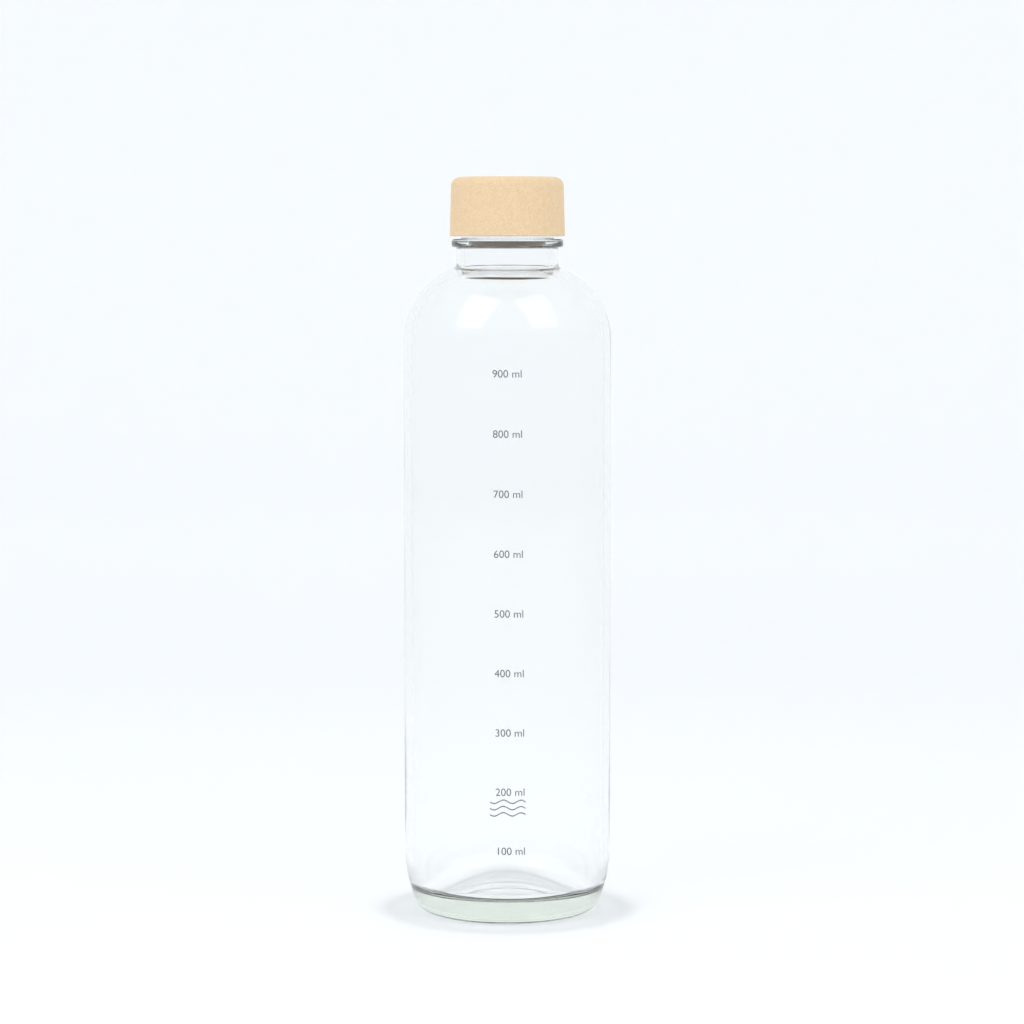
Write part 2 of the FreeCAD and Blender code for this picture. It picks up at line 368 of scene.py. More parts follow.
def end_tree(
    tree: bpy.types.NodeTree, geometry: bpy.types.NodeSocket, material: bpy.types.NodeSocket
) -> None:
    """Ends a tree by scaling it to metres, realising its instances and setting its material.

    Args:
        tree: The node tree.
        geometry: What the tree has made, in millimetres.
        material: The material input.
    """
    scaled = add_node(
        tree, "GeometryNodeTransform", inputs={"Geometry": geometry, "Scale": (MM, MM, MM)}
    ).outputs[0]
    real = add_node(tree, "GeometryNodeRealizeInstances", inputs={"Geometry": scaled}).outputs[0]
    dressed = add_node(tree, "GeometryNodeSetMaterial", inputs={"Geometry": real, "Material": material})
    add_node(tree, "NodeGroupOutput", inputs={0: dressed.outputs[0]})


@dataclass(frozen=True)
class Thread:
    """A screw thread on one wall of a turned piece. All lengths are in millimetres."""

    wall_radius: float
    depth: float
    start_height: float
    turns: float
    starts: int = 3
    lead: float = 12.0
    crest: float = 0.9
    foot: float = 2.0
    run_out: float = 0.8


NO_THREAD = Thread(wall_radius=0.0, depth=0.0, start_height=0.0, turns=0.0)


class TurnedTree:
    """The tree that rounds an outline's corners, turns it about +Z and cuts its thread."""

    # The outline is swept round a circle of this radius, so that no point of it crosses the circle.
    SWEEP_RADIUS = 100.0
    WELD = 0.002
    SAME_WALL = 0.02

    def __init__(self) -> None:
        """Builds the tree."""
        numbers = ("Wall Radius", "Thread Depth", "Thread Base", "Thread Turns", "Thread Starts")
        numbers += ("Thread Lead", "Thread Crest", "Thread Foot", "Run Out")
        numbers += ("Ripple Depth", "Ripple Size")
        kinds = {"Facets": "Int", "Arc Points": "Int", "Material": "Material"}
        kinds.update({name: "Float" for name in numbers})
        self.tree, self.known = new_tree("turned_piece", kinds)
        welded = self.turned()
        threaded = self.threaded(welded)
        smooth = add_node(self.tree, "GeometryNodeSetShadeSmooth", inputs={"Geometry": threaded})
        end_tree(self.tree, smooth.outputs[0], self.known["Material"])

    def attribute(self, name: str) -> bpy.types.NodeSocket:
        """Reads a number that the outline's corners hold, by its name."""
        kind = {"data_type": "FLOAT"}
        node = add_node(self.tree, "GeometryNodeInputNamedAttribute", kind, {"Name": name})
        return node.outputs["Attribute"]

    def place(self) -> dict[str, Any]:
        """Reads the present position as x, y and z."""
        position = add_node(self.tree, "GeometryNodeInputPosition").outputs[0]
        parts = add_node(self.tree, "ShaderNodeSeparateXYZ", inputs={0: position}).outputs
        return {"x": parts[0], "y": parts[1], "z": parts[2]}

    def turned(self) -> bpy.types.NodeSocket:
        """Rounds the outline's corners, sweeps it round the axis and welds its poles.

        Returns:
            The turned mesh.
        """
        tree, known = self.tree, self.known
        line = add_node(tree, "GeometryNodeMeshToCurve", inputs={0: known["Geometry"]}).outputs[0]
        rounded = add_node(
            tree,
            "GeometryNodeFilletCurve",
            {"mode": "POLY"},
            {"Curve": line, "Count": known["Arc Points"], "Radius": self.attribute("rounding")},
        ).outputs[0]
        known.update(self.place())
        work_out(
            tree,
            known,
            (("across", "SUBTRACT", "x", self.SWEEP_RADIUS), ("down", "MULTIPLY", "z", -1.0)),
        )
        flat = add_node(tree, "ShaderNodeCombineXYZ", inputs={0: known["across"], 1: known["down"]})
        section = add_node(
            tree, "GeometryNodeSetPosition", inputs={"Geometry": rounded, "Position": flat.outputs[0]}
        ).outputs[0]
        circle = add_node(
            tree,
            "GeometryNodeCurvePrimitiveCircle",
            inputs={"Resolution": known["Facets"], "Radius": self.SWEEP_RADIUS},
        ).outputs[0]
        swept = add_node(
            tree, "GeometryNodeCurveToMesh", inputs={"Curve": circle, "Profile Curve": section}
        ).outputs[0]
        weld = add_node(
            tree,
            "GeometryNodeMergeByDistance",
            inputs={"Geometry": swept, "Distance": self.WELD},
        )
        return weld.outputs[0]

    def threaded(self, geometry: bpy.types.NodeSocket) -> bpy.types.NodeSocket:
        """Raises the thread on its wall and ripples the blown inside.

        Args:
            geometry: The turned mesh.

        Returns:
            The mesh with its thread and ripple.
        """
        tree, known = self.tree, self.known
        known.update(self.place())
        work_out(
            tree,
            known,
            (
                ("x squared", "MULTIPLY", "x", "x"),
                ("radius squared", "MULTIPLY_ADD", "y", "y", "x squared"),
                ("radius", "SQRT", "radius squared"),
                ("angle", "ARCTAN2", "y", "x"),
                ("turn", "DIVIDE", "angle", math.tau),
                ("climb", "MULTIPLY", "turn", "Thread Lead"),
                ("above", "SUBTRACT", "z", "Thread Base"),
                ("offset", "SUBTRACT", "above", "climb"),
                ("pitch", "DIVIDE", "Thread Lead", "Thread Starts"),
                ("half pitch", "DIVIDE", "pitch", 2.0),
                ("minus half pitch", "MULTIPLY", "half pitch", -1.0),
                ("from ridge", "WRAP", "offset", "half pitch", "minus half pitch"),
                ("distance", "ABSOLUTE", "from ridge"),
                ("flank", "SUBTRACT", "Thread Foot", "Thread Crest"),
                ("twice", "MULTIPLY", "distance", 2.0),
                ("to foot", "SUBTRACT", "Thread Foot", "twice"),
                ("steep", "DIVIDE", "to foot", "flank"),
                ("ridge low", "MAXIMUM", "steep", 0.0),
                ("ridge", "SMOOTH_MIN", "ridge low", 1.0, 0.15),
                ("span", "MULTIPLY", "Thread Lead", "Thread Turns"),
                ("into", "DIVIDE", "above", "Run Out"),
                ("starts in", "MAXIMUM", "into", 0.0),
                ("fade in", "MINIMUM", "starts in", 1.0),
                ("left", "SUBTRACT", "span", "above"),
                ("out of", "DIVIDE", "left", "Run Out"),
                ("ends in", "MAXIMUM", "out of", 0.0),
                ("fade out", "MINIMUM", "ends in", 1.0),
                ("on wall", "COMPARE", "radius", "Wall Radius", self.SAME_WALL),
                ("faded", "MULTIPLY", "fade in", "fade out"),
                ("shown", "MULTIPLY", "ridge", "on wall"),
                ("share", "MULTIPLY", "faded", "shown"),
                ("raise", "MULTIPLY", "share", "Thread Depth"),
                ("grow", "DIVIDE", "raise", "radius"),
                ("move x", "MULTIPLY", "x", "grow"),
                ("move y", "MULTIPLY", "y", "grow"),
            ),
        )
        outwards = add_node(
            tree,
            "ShaderNodeCombineXYZ",
            inputs={0: known["move x"], 1: known["move y"]},
        )
        thread = add_node(
            tree, "GeometryNodeSetPosition", inputs={"Geometry": geometry, "Offset": outwards.outputs[0]}
        ).outputs[0]
        noise = self.ripple()
        normal = add_node(tree, "GeometryNodeInputNormal").outputs[0]
        swell = add_node(
            tree, "ShaderNodeVectorMath", {"operation": "SCALE"}, {"Vector": normal, "Scale": noise}
        ).outputs[0]
        moved = {"Geometry": thread, "Offset": swell}
        return add_node(tree, "GeometryNodeSetPosition", inputs=moved).outputs[0]

    def ripple(self) -> bpy.types.NodeSocket:
        """Works out how far the unevenly blown inside swells, from slow noise.

        Returns:
            The swelling in millimetres, which is zero on the moulded outside.
        """
        tree, known = self.tree, self.known
        work_out(tree, known, (("ripple scale", "DIVIDE", 1.0, "Ripple Size"),))
        position = add_node(tree, "GeometryNodeInputPosition").outputs[0]
        noise = add_node(
            tree,
            "ShaderNodeTexNoise",
            inputs={"Vector": position, "Scale": known["ripple scale"], "Detail": 1.0},
        )
        known.update({"noise": noise.outputs["Fac"], "blown": self.attribute("blown")})
        work_out(
            tree,
            known,
            (
                ("centred", "SUBTRACT", "noise", 0.5),
                ("deep", "MULTIPLY", "centred", "Ripple Depth"),
                ("swell", "MULTIPLY", "deep", "blown"),
            ),
        )
        return known["swell"]


class PrintTree:
    """The tree that sets type, adds a mark and bends both round the glass as a layer of ink."""

    WELD = 0.0005

    def __init__(self) -> None:
        """Builds the tree."""
        numbers = ("Text Size", "Line Step", "Narrowing", "Lean")
        numbers += ("Top Height", "Glass Radius", "Gap", "Ink Depth")
        kinds = {"Readings": "String", "Material": "Material", "Turn": "Float"}
        kinds.update({name: "Float" for name in numbers})
        self.tree, self.known = new_tree("wrapped_print", kinds)
        end_tree(self.tree, self.wrapped(self.layer()), self.known["Material"])

    def layer(self) -> bpy.types.NodeSocket:
        """Sets the readings as flat type, joins the flat mark and gives both the ink's depth.

        Returns:
            Closed flat solids in the XY plane.
        """
        tree, known = self.tree, self.known
        work_out(tree, known, (("line spacing", "DIVIDE", "Line Step", "Text Size"),))
        text = add_node(
            tree,
            "GeometryNodeStringToCurves",
            {"align_x": "CENTER", "align_y": "TOP_BASELINE"},
            {
                "String": known["Readings"],
                "Size": known["Text Size"],
                "Line Spacing": known["line spacing"],
            },
        ).outputs[0]
        letters = add_node(tree, "GeometryNodeRealizeInstances", inputs={"Geometry": text}).outputs[0]
        narrow = add_node(tree, "ShaderNodeCombineXYZ", inputs={0: known["Narrowing"], 1: 1.0, 2: 1.0})
        scaled = add_node(
            tree, "GeometryNodeTransform", inputs={"Geometry": letters, "Scale": narrow.outputs[0]}
        ).outputs[0]
        triangles = {"mode": "TRIANGLES"}
        filled = add_node(tree, "GeometryNodeFillCurve", triangles, {"Curve": scaled}).outputs[0]
        flat = add_node(tree, "GeometryNodeJoinGeometry", inputs={0: filled})
        tree.links.new(known["Geometry"], flat.inputs[0])
        up = add_node(tree, "ShaderNodeCombineXYZ", inputs={2: known["Ink Depth"]}).outputs[0]
        raised = add_node(
            tree,
            "GeometryNodeExtrudeMesh",
            {"mode": "FACES"},
            {"Mesh": flat.outputs[0], "Offset": up, "Offset Scale": 1.0, "Individual": False},
        ).outputs[0]
        under = add_node(tree, "GeometryNodeFlipFaces", inputs={"Mesh": flat.outputs[0]}).outputs[0]
        both = add_node(tree, "GeometryNodeJoinGeometry", inputs={0: raised})
        tree.links.new(under, both.inputs[0])
        return add_node(
            tree,
            "GeometryNodeMergeByDistance",
            inputs={"Geometry": both.outputs[0], "Distance": self.WELD},
        ).outputs[0]

    def wrapped(self, geometry: bpy.types.NodeSocket) -> bpy.types.NodeSocket:
        """Bends the flat print round the glass.

        Args:
            geometry: Flat solids, with x to the right and y up as they are read.

        Returns:
            The same solids on the glass, facing -Y when the turn is zero.
        """
        tree, known = self.tree, self.known
        position = add_node(tree, "GeometryNodeInputPosition").outputs[0]
        parts = add_node(tree, "ShaderNodeSeparateXYZ", inputs={0: position}).outputs
        known.update({"x": parts[0], "y": parts[1], "z": parts[2]})
        work_out(
            tree,
            known,
            (
                ("slant", "MULTIPLY", "y", "Lean"),
                ("along", "SUBTRACT", "x", "slant"),
                ("arc", "DIVIDE", "along", "Glass Radius"),
                ("bearing", "ADD", "arc", "Turn"),
                ("lifted", "ADD", "z", "Gap"),
                ("radius", "ADD", "lifted", "Glass Radius"),
                ("sine", "SINE", "bearing"),
                ("cosine", "COSINE", "bearing"),
                ("round x", "MULTIPLY", "radius", "sine"),
                ("depth", "MULTIPLY", "radius", "cosine"),
                ("round y", "MULTIPLY", "depth", -1.0),
                ("round z", "ADD", "y", "Top Height"),
            ),
        )
        bent = add_node(
            tree,
            "ShaderNodeCombineXYZ",
            inputs={0: known["round x"], 1: known["round y"], 2: known["round z"]},
        ).outputs[0]
        placed = {"Geometry": geometry, "Position": bent}
        return add_node(tree, "GeometryNodeSetPosition", inputs=placed).outputs[0]


def run_tree(
    name: str, base: bpy.types.Mesh, tree: bpy.types.NodeTree, values: dict[str, Any]
) -> bpy.types.Object:
    """Runs a geometry node tree on a base mesh and keeps the result as a plain mesh object.

    Args:
        name: The name of the new object.
        base: The mesh that the tree starts from.
        tree: The geometry node tree.
        values: The tree's inputs by name.

    Returns:
        An object at the origin whose closed mesh has its faces outwards.
    """
    carrier = bpy.data.objects.new(f"{name}_base", base)
    bpy.context.scene.collection.objects.link(carrier)
    modifier = carrier.modifiers.new(tree.name, "NODES")
    modifier.node_group = tree
    for item in tree.interface.items_tree:
        if item.item_type == "SOCKET" and item.in_out == "INPUT" and item.name in values:
            modifier[item.identifier] = values[item.name]
    evaluated = carrier.evaluated_get(bpy.context.evaluated_depsgraph_get())
    mesh = bpy.data.meshes.new_from_object(evaluated)
    bpy.data.objects.remove(carrier)
    mesh.name = name
    shell = bmesh.new()
    shell.from_mesh(mesh)
    bmesh.ops.recalc_face_normals(shell, faces=shell.faces)
    shell.to_mesh(mesh)
    shell.free()
    piece = bpy.data.objects.new(name, mesh)
    bpy.context.scene.collection.objects.link(piece)
    return piece


def settle(piece: bpy.types.Object, body: Body, slot: Slot, *nodes: str) -> bpy.types.Object:
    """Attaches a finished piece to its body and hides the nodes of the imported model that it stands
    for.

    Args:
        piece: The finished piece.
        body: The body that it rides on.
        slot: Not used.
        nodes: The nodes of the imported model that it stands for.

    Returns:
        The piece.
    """
    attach(piece, body.value)
    if nodes:
        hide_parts(*nodes)
    LOG.info("%s: %d faces on %s", piece.name, len(piece.data.polygons), body.value)
    return piece


# ---------------------------------------------------------------- outlines


@dataclass(frozen=True)
class Corner:
    """A corner of an outline, with the radius that rounds it. All lengths are in millimetres."""

    radius: float
    height: float
    rounding: float = 0.0
    blown: float = 0.0
    rows_after: int = 0

    def at(self) -> Vector:
        """The corner in the plane of the outline."""
        return Vector((self.radius, 0.0, self.height))


@dataclass
class Outline:
    """A chain of corners in the XZ plane, from axis to axis or closed on itself.

    SUPPORT is how far inside the ends of a straight stretch its first and last rows lie.
    """

    SUPPORT: ClassVar[float] = 0.15
    corners: list[Corner]
    closed: bool = False

    def reach(self, index: int) -> float:
        """How far along its straight stretches a corner's rounding reaches.

        Args:
            index: Which corner.

        Returns:
            The length from the corner to where its arc starts.
        """
        count = len(self.corners)
        here = self.corners[index % count]
        if here.rounding == 0.0:
            return 0.0
        back = self.corners[(index - 1) % count].at() - here.at()
        ahead = self.corners[(index + 1) % count].at() - here.at()
        return here.rounding / math.tan(back.angle(ahead) / 2)

    def rows(self, length: float, reach: float, next_reach: float, count: int) -> list[float]:
        """Spaces the rows of a straight stretch, with one close to each arc so that it shades flat.

        Args:
            length: The length of the stretch from corner to corner.
            reach: How far the first corner's arc reaches along it.
            next_reach: How far the next corner's arc reaches back along it.
            count: Into how many equal rows to divide it.

        Returns:
            How far along the stretch each row lies.
        """
        start, end = reach + self.SUPPORT, length - next_reach - self.SUPPORT
        if end - start < self.SUPPORT:
            return []
        steps = max(count, 1)
        return [start + (end - start) * row / steps for row in range(steps + 1)]

    def mesh(self, name: str) -> bpy.types.Mesh:
        """Makes the chain of edges that the turned tree starts from.

        Args:
            name: The mesh's name.

        Returns:
            A mesh of edges whose points hold their rounding and their share of the ripple.
        """
        points: list[Vector] = []
        rounding: list[float] = []
        blown: list[float] = []
        count = len(self.corners)
        for i, corner in enumerate(self.corners):
            points.append(corner.at())
            rounding.append(corner.rounding)
            blown.append(corner.blown)
            if i == count - 1 and not self.closed:
                continue
            following = self.corners[(i + 1) % count]
            stretch = following.at() - corner.at()
            for along in self.rows(stretch.length, self.reach(i), self.reach(i + 1), corner.rows_after):
                points.append(corner.at() + stretch * (along / stretch.length))
                rounding.append(0.0)
                blown.append(following.blown if along > stretch.length / 2 else corner.blown)
        edges = [(i, i + 1) for i in range(len(points) - 1)]
        if self.closed:
            edges.append((len(points) - 1, 0))
        mesh = bpy.data.meshes.new(f"{name}_outline")
        mesh.from_pydata(points, edges, [])
        for label, values in (("rounding", rounding), ("blown", blown)):
            mesh.attributes.new(label, "FLOAT", "POINT").data.foreach_set("value", values)
        return mesh


@dataclass
class Turner:
    """Turns outlines into finished meshes with one shared tree."""

    tree: TurnedTree
    facets: int = 256
    arc_points: int = 12

    def turn(
        self,
        name: str,
        outline: Outline,
        finish: Finish,
        thread: Thread = NO_THREAD,
        ripple_mm: tuple[float, float] = (0.0, 1.0),
    ) -> bpy.types.Object:
        """Turns one outline about +Z.

        Args:
            name: The piece's name.
            outline: The outline to turn.
            finish: What the piece is made of.
            thread: The screw thread on one of its walls.
            ripple_mm: Depth and size of the ripple of a blown inside.

        Returns:
            The finished piece.
        """
        values = {
            "Facets": self.facets,
            "Arc Points": self.arc_points,
            "Material": finish.material(),
            "Wall Radius": thread.wall_radius,
            "Thread Depth": thread.depth,
            "Thread Base": thread.start_height,
            "Thread Turns": thread.turns,
            "Thread Starts": float(thread.starts),
            "Thread Lead": thread.lead,
            "Thread Crest": thread.crest,
            "Thread Foot": thread.foot,
            "Run Out": thread.run_out,
            "Ripple Depth": ripple_mm[0],
            "Ripple Size": ripple_mm[1],
        }
        return run_tree(name, outline.mesh(name), self.tree.tree, values)


# ---------------------------------------------------------------- the bottle and its print


@dataclass
class GlassBottle:
    """The one-piece glass body with its threaded mouth. All lengths are in millimetres."""

    body_radius: float
    rim_height: float
    wall: float = 3.17
    shoulder_start: float = 224.6
    shoulder_bend: float = 30.3
    shoulder_slope: float = math.radians(21.14)
    neck_radius: float = 19.85
    neck_bend: float = 1.6
    neck_wall: float = 3.6
    inner_neck_bend: float = 5.0
    heel_slope: float = math.radians(22.16)
    heel_foot: float = 34.65
    heel_bend: float = 55.0
    foot_bend: float = 6.7
    ring_inner: float = 24.0
    ring_bend: float = 3.0
    pushup_height: float = 3.0
    pushup_flat: float = 12.0
    pushup_bend: float = 30.0
    floor_edge: float = 9.5
    floor_middle: float = 11.5
    floor_flat: float = 10.0
    floor_bend: float = 60.0
    inner_heel_bend: float = 3.0
    bead_bottom: float = 260.7
    bead_top: float = 263.9
    bead_radius: float = 21.8
    bead_round: float = 1.0
    bead_root: float = 0.5
    finish_radius: float = 18.0
    rim_round: float = 1.0
    bore_radius: float = 15.4
    bore_taper_top: float = 264.0
    bore_taper_bottom: float = 260.6
    bore_bend: float = 1.0
    thread_crest_radius: float = 19.1
    thread_start: float = 268.2
    thread_turns: float = 0.8
    thread_rows: int = 84
    blown_rows: int = 24
    ripple_mm: tuple[float, float] = (0.25, 45.0)
    finish: Finish = field(default_factory=SodaLimeGlass)

    def outline(self) -> Outline:
        """Works out the section of the glass, up its outside and down its inside.

        Returns:
            The outline from the push-up to the middle of the inner floor.
        """
        half_turn = (math.pi / 2 - self.shoulder_slope) / 2
        heel = (self.body_radius - self.heel_foot) / math.tan(self.heel_slope)
        shoulder = self.shoulder_start + self.shoulder_bend * math.tan(half_turn)
        neck = shoulder + (self.body_radius - self.neck_radius) * math.tan(self.shoulder_slope)
        inner_body = self.body_radius - self.wall
        inner_shoulder = shoulder - self.wall * math.tan(half_turn)
        inner_neck = self.neck_radius - self.neck_wall
        inner_neck_height = inner_shoulder + (inner_body - inner_neck) * math.tan(self.shoulder_slope)
        return Outline(
            [
                Corner(0.0, self.pushup_height),
                Corner(self.pushup_flat, self.pushup_height, self.pushup_bend),
                Corner(self.ring_inner, 0.0, self.ring_bend),
                Corner(self.heel_foot, 0.0, self.foot_bend),
                Corner(self.body_radius, heel, self.heel_bend),
                Corner(self.body_radius, shoulder, self.shoulder_bend),
                Corner(self.neck_radius, neck, self.neck_bend),
                Corner(self.neck_radius, self.bead_bottom, self.bead_root),
                Corner(self.bead_radius, self.bead_bottom, self.bead_round),
                Corner(self.bead_radius, self.bead_top, self.bead_round),
                Corner(self.finish_radius, self.bead_top, self.bead_root, rows_after=self.thread_rows),
                Corner(self.finish_radius, self.rim_height, self.rim_round),
                Corner(self.bore_radius, self.rim_height, self.rim_round),
                Corner(self.bore_radius, self.bore_taper_top, self.bore_bend),
                Corner(inner_neck, self.bore_taper_bottom, self.bore_bend, blown=1.0),
                Corner(inner_neck, inner_neck_height, self.inner_neck_bend, blown=1.0),
                Corner(inner_body, inner_shoulder, self.shoulder_bend - self.wall, 1.0, self.blown_rows),
                Corner(inner_body, self.floor_edge, self.inner_heel_bend, blown=1.0),
                Corner(self.floor_flat, self.floor_middle, self.floor_bend, blown=1.0),
                Corner(0.0, self.floor_middle, blown=1.0),
            ]
        )

    def build(self, turner: Turner) -> bpy.types.Object:
        """Turns the glass and settles it on its body.

        Args:
            turner: What turns outlines into meshes.

        Returns:
            The glass.
        """
        thread = Thread(
            wall_radius=self.finish_radius,
            depth=self.thread_crest_radius - self.finish_radius,
            start_height=self.thread_start,
            turns=self.thread_turns,
        )
        glass = turner.turn("bottle_glass_body", self.outline(), self.finish, thread, self.ripple_mm)
        return settle(glass, Body.BOTTLE, Slot.GLASS, "glass_bottle")


@dataclass
class VolumeScale:
    """The volume scale on the front and the small wave mark on the back, in fired ink."""

    glass_radius: float
    readings: tuple[int, ...] = tuple(range(900, 0, -100))
    unit: str = "ml"
    top_height: float = 211.6
    line_step: float = 22.85
    text_size: float = 4.15
    narrowing: float = 1.0
    lean: float = 0.0072
    gap: float = 0.02
    ink_depth: float = 0.03
    mark_height: float = 33.3
    mark_width: float = 15.6
    mark_stroke: float = 0.55
    mark_step: float = 2.6
    mark_waves: int = 3
    mark_swing: float = 0.7
    mark_points: int = 48
    finish: Finish = CERAMIC_INK

    def printed(
        self, name: str, tree: PrintTree, base: bpy.types.Mesh, text: str, height: float, turn: float
    ) -> bpy.types.Object:
        """Prints type or a flat mark on the glass.

        Args:
            name: The piece's name.
            tree: The tree that bends the print round the glass.
            base: The flat mark, or an empty mesh.
            text: The type, one reading on each line.
            height: The height of the first line's baseline, or of the mark's middle.
            turn: The bearing of the print's middle, which is zero at the front.

        Returns:
            The printed piece.
        """
        values = {
            "Readings": text,
            "Text Size": self.text_size,
            "Line Step": self.line_step,
            "Narrowing": self.narrowing,
            "Lean": self.lean,
            "Top Height": height,
            "Glass Radius": self.glass_radius,
            "Gap": self.gap,
            "Ink Depth": self.ink_depth,
            "Turn": turn,
            "Material": self.finish.material(),
        }
        return settle(run_tree(name, base, tree.tree, values), Body.BOTTLE, Slot.INK)

    def waves(self) -> bpy.types.Mesh:
        """Draws the plain mark: short waves, one under another.

        Returns:
            Flat strips in the XY plane.
        """
        mesh = bpy.data.meshes.new("wave_mark")
        points: list[Vector] = []
        faces: list[tuple[int, int, int, int]] = []
        for wave in range(self.mark_waves):
            level = (wave - (self.mark_waves - 1) / 2) * self.mark_step
            first = len(points)
            for i in range(self.mark_points + 1):
                share = i / self.mark_points
                x = (share - 0.5) * self.mark_width
                y = level + self.mark_swing * math.sin(share * math.tau * 2)
                points.append(Vector((x, y - self.mark_stroke / 2, 0.0)))
                points.append(Vector((x, y + self.mark_stroke / 2, 0.0)))
            faces += [
                (first + 2 * i, first + 2 * i + 2, first + 2 * i + 3, first + 2 * i + 1)
                for i in range(self.mark_points)
            ]
        mesh.from_pydata(points, [], faces)
        return mesh

    def build(self, tree: PrintTree) -> list[bpy.types.Object]:
        """Prints the scale and the mark.

        Args:
            tree: The tree that bends the print round the glass.

        Returns:
            The printed pieces.
        """
        lines = "\n".join(f"{reading} {self.unit}" for reading in self.readings)
        empty = bpy.data.meshes.new("no_mark")
        return [
            self.printed("volume_scale_print", tree, empty, lines, self.top_height, 0.0),
            self.printed("wave_mark_print", tree, self.waves(), "", self.mark_height, math.pi),
        ]


# ---------------------------------------------------------------- the cap


@dataclass
class ScrewCap:
    """The cap: shell, threaded insert and gasket. All lengths are in millimetres."""

    top: float
    bottom: float
    bottom_radius: float
    draft: float = math.radians(1.5)
    top_round: float = 3.5
    edge_round: float = 0.4
    socket_radius: float = 20.4
    socket_top: float = 285.45
    socket_round: float = 0.8
    insert_radius: float = 20.35
    insert_bottom: float = 265.6
    insert_top: float = 285.4
    plate_bottom: float = 284.3
    insert_inner: float = 19.4
    insert_round: float = 0.3
    insert_top_round: float = 0.9
    retainer_height: float = 281.85
    retainer_depth: float = 0.7
    retainer_half: float = 0.35
    thread_crest_radius: float = 18.35
    thread_start: float = 270.6
    thread_turns: float = 0.55
    thread_rows: int = 76
    gasket_bottom: float = 282.5
    gasket_top: float = 284.0
    gasket_outer: float = 18.9
    gasket_inner: float = 12.9
    lip_outer: float = 15.0
    lip_inner: float = 14.0
    lip_bottom: float = 281.3
    gasket_round: float = 0.3
    shell_finish: Finish = field(default_factory=WoodFibreComposite)

    def shell(self, turner: Turner) -> bpy.types.Object:
        """Turns the outer shell.

        Args:
            turner: What turns outlines into meshes.

        Returns:
            The shell.
        """
        top_radius = self.bottom_radius - (self.top - self.bottom) * math.tan(self.draft)
        outline = Outline(
            [
                Corner(0.0, self.socket_top),
                Corner(self.socket_radius, self.socket_top, self.socket_round),
                Corner(self.socket_radius, self.bottom, self.edge_round),
                Corner(self.bottom_radius, self.bottom, self.edge_round),
                Corner(top_radius, self.top, self.top_round),
                Corner(0.0, self.top),
            ]
        )
        piece = turner.turn("cap_outer_shell", outline, self.shell_finish)
        return settle(piece, Body.CAP, Slot.COMPOSITE, "cap_shell")

    def insert(self, turner: Turner) -> bpy.types.Object:
        """Turns the threaded insert.

        Args:
            turner: What turns outlines into meshes.

        Returns:
            The insert.
        """
        ridge = self.insert_inner - self.retainer_depth
        outline = Outline(
            [
                Corner(0.0, self.plate_bottom),
                Corner(self.insert_inner, self.plate_bottom),
                Corner(self.insert_inner, self.retainer_height + self.retainer_half),
                Corner(ridge, self.retainer_height),
                Corner(
                    self.insert_inner,
                    self.retainer_height - self.retainer_half,
                    rows_after=self.thread_rows,
                ),
                Corner(self.insert_inner, self.insert_bottom, self.insert_round),
                Corner(self.insert_radius, self.insert_bottom, self.insert_round),
                Corner(self.insert_radius, self.insert_top, self.insert_top_round),
                Corner(0.0, self.insert_top),
            ]
        )
        thread = Thread(
            wall_radius=self.insert_inner,
            depth=self.thread_crest_radius - self.insert_inner,
            start_height=self.thread_start,
            turns=self.thread_turns,
        )
        # The insert's dark brown is painted shade for the cap's shaded inside, which shows through the
        # glass bead.
        piece = turner.turn("cap_thread_insert", outline, PAINTED_SHADE_POLYPROPYLENE, thread)
        return settle(piece, Body.CAP, Slot.INSERT, "cap_insert")

    def gasket(self, turner: Turner) -> bpy.types.Object:
        """Turns the sealing gasket.

        Args:
            turner: What turns outlines into meshes.

        Returns:
            The gasket.
        """
        outline = Outline(
            [
                Corner(self.gasket_inner, self.gasket_bottom, self.gasket_round),
                Corner(self.lip_inner, self.gasket_bottom),
                Corner(self.lip_inner, self.lip_bottom, self.gasket_round),
                Corner(self.lip_outer, self.lip_bottom, self.gasket_round),
                Corner(self.lip_outer, self.gasket_bottom),
                Corner(self.gasket_outer, self.gasket_bottom, self.gasket_round),
                Corner(self.gasket_outer, self.gasket_top, self.gasket_round),
                Corner(self.gasket_inner, self.gasket_top, self.gasket_round),
            ],
            closed=True,
        )
        piece = turner.turn("cap_sealing_ring", outline, SILICONE)
        return settle(piece, Body.SEAL, Slot.GASKET, "sealing_gasket")

    def build(self, turner: Turner) -> list[bpy.types.Object]:
        """Turns the cap's three pieces, from the outside in."""
        return [self.shell(turner), self.insert(turner), self.gasket(turner)]


# ---------------------------------------------------------------- the studio


@dataclass(frozen=True)
class Softbox:
    """A rectangular soft light that looks at a point, the middle of the bottle unless told otherwise."""

    name: str
    place: tuple[float, float, float]
    size: tuple[float, float]
    watts: float
    aim: tuple[float, float, float] = (0.0, 0.0, 0.14)

    def build(self) -> bpy.types.Object:
        """Hangs the light."""
        lamp = bpy.data.lights.new(self.name, "AREA")
        lamp.shape = "RECTANGLE"
        lamp.size, lamp.size_y = self.size
        lamp.energy = self.watts
        light = bpy.data.objects.new(self.name, lamp)
        light.location = self.place
        aim = Vector(self.aim) - Vector(self.place)
        light.rotation_mode = "QUATERNION"
        light.rotation_quaternion = aim.to_track_quat("-Z", "Y")
        bpy.context.scene.collection.objects.link(light)
        return light


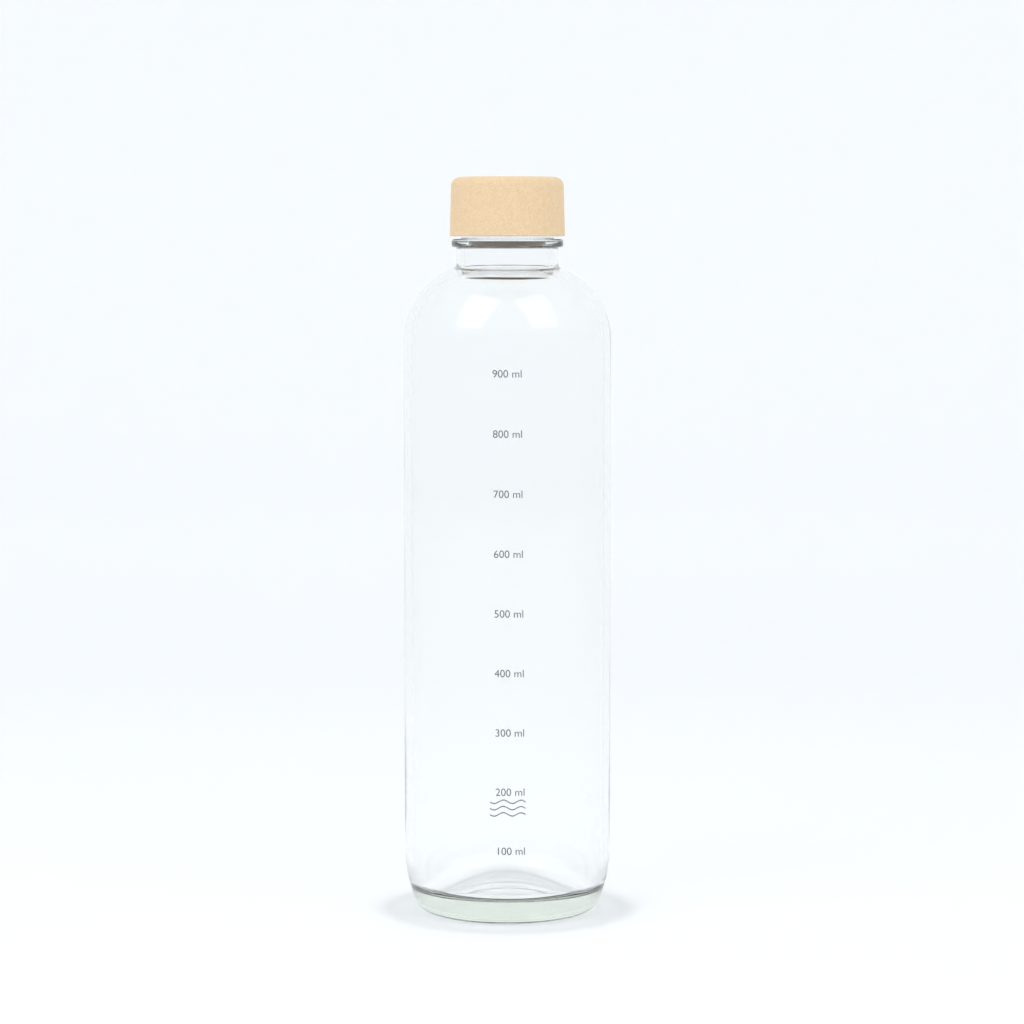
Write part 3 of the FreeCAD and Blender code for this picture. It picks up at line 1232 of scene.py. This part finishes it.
@dataclass
class Studio:
    """A pale round sweep, soft lights and the camera. All lengths are in metres."""

    sweep_radius: float = 3.0
    sweep_bend: float = 0.8
    sweep_height: float = 2.6
    sweep_facets: int = 96
    sweep_arc_points: int = 24
    paper: str = "f9fafb"
    paper_roughness: float = 0.9
    paper_grain: Grain = Grain(40.0)
    world: str = "f9fcff"
    world_strength: float = 0.99
    bounces: int = 32
    glossy_bounces: int = 12
    focal_px: float = 3250.0
    frame_px: float = 1024.0
    sensor_mm: float = 36.0
    camera_distance: float = 1.270
    camera_height: float = 0.2615
    camera_aside: float = 0.0018
    camera_tilt: float = 0.0819
    boxes: tuple[Softbox, ...] = (
        Softbox("softbox_top_left", (-0.8, -0.8, 1.25), (0.85, 1.3), 4.2),
        Softbox("softbox_top_right", (0.8, -0.8, 1.25), (0.85, 1.3), 3.0),
        Softbox("backdrop_light", (0.0, 1.2, 1.5), (3.2, 0.3), 4.2, (0.0, 2.95, 0.9)),
    )

    def sweep(self) -> bpy.types.Object:
        """Lays the floor and bends it up into the backdrop, the same on every side."""
        rows = [(0.0, 0.0), (self.sweep_radius - self.sweep_bend, 0.0)]
        for i in range(1, self.sweep_arc_points + 1):
            angle = math.pi / 2 * i / self.sweep_arc_points
            across = self.sweep_radius - self.sweep_bend + self.sweep_bend * math.sin(angle)
            rows.append((across, self.sweep_bend * (1 - math.cos(angle))))
        rows.append((self.sweep_radius, self.sweep_height))
        paper = bmesh.new()
        rings = []
        for across, height in rows:
            ring = []
            for i in range(self.sweep_facets):
                angle = math.tau * i / self.sweep_facets
                point = (across * math.cos(angle), across * math.sin(angle), height)
                ring.append(paper.verts.new(point))
            rings.append(ring)
        for low, high in zip(rings, rings[1:]):
            for i in range(self.sweep_facets):
                j = (i + 1) % self.sweep_facets
                paper.faces.new((low[i], low[j], high[j], high[i]))
        bmesh.ops.remove_doubles(paper, verts=paper.verts, dist=MM)
        for face in paper.faces:
            face.smooth = True
        mesh = bpy.data.meshes.new("paper_sweep")
        paper.to_mesh(mesh)
        paper.free()
        mesh.materials.append(
            Moulded(
                "matt_paper", self.paper, self.paper, self.paper_roughness, self.paper_grain, 0.0
            ).material()
        )
        floor = bpy.data.objects.new("paper_sweep", mesh)
        bpy.context.scene.collection.objects.link(floor)
        return floor

    def sky(self) -> None:
        """Fills the room with even white light."""
        world = bpy.data.worlds.new("white_room")
        world.use_nodes = True
        world.node_tree.nodes.clear()
        light = add_node(
            world.node_tree,
            "ShaderNodeBackground",
            inputs={"Color": linear(self.world), "Strength": self.world_strength},
        )
        add_node(world.node_tree, "ShaderNodeOutputWorld", inputs={"Surface": light.outputs[0]})
        bpy.context.scene.world = world

    def camera(self) -> bpy.types.Object:
        """Sets up the camera in front of the scale, just below the height of the cap."""
        lens = bpy.data.cameras.new("camera")
        lens.sensor_width = self.sensor_mm
        lens.lens = self.focal_px / self.frame_px * self.sensor_mm
        camera = bpy.data.objects.new("camera", lens)
        camera.location = (self.camera_aside, -self.camera_distance, self.camera_height)
        camera.rotation_euler = (math.pi / 2 - self.camera_tilt, 0.0, 0.0)
        bpy.context.scene.collection.objects.link(camera)
        bpy.context.scene.camera = camera
        return camera

    def build(self) -> None:
        """Sets up the whole studio and how light is followed through the glass."""
        self.sweep()
        self.sky()
        for box in self.boxes:
            box.build()
        self.camera()
        scene = bpy.context.scene
        scene.view_settings.view_transform = "Standard"
        scene.cycles.max_bounces = self.bounces
        scene.cycles.transmission_bounces = self.bounces
        scene.cycles.glossy_bounces = self.glossy_bounces
        scene.cycles.caustics_refractive = True
        scene.cycles.caustics_reflective = True
        scene.cycles.blur_glossy = 0.0
        scene.cycles.use_denoising = True


def main() -> None:
    """Builds the bottle, its print, its cap and the studio, in that order."""
    glass_low, glass_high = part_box("glass_bottle")
    shell_low, shell_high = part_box("cap_shell")
    turner = Turner(TurnedTree())
    body_radius = (glass_high.x - glass_low.x) / 2 / MM
    GlassBottle(body_radius=body_radius, rim_height=glass_high.z / MM).build(turner)
    VolumeScale(glass_radius=body_radius).build(PrintTree())
    cap = ScrewCap(
        top=shell_high.z / MM,
        bottom=shell_low.z / MM,
        bottom_radius=(shell_high.x - shell_low.x) / 2 / MM,
    )
    cap.build(turner)
    Studio().build()


if __name__ == "__main__":
    main()
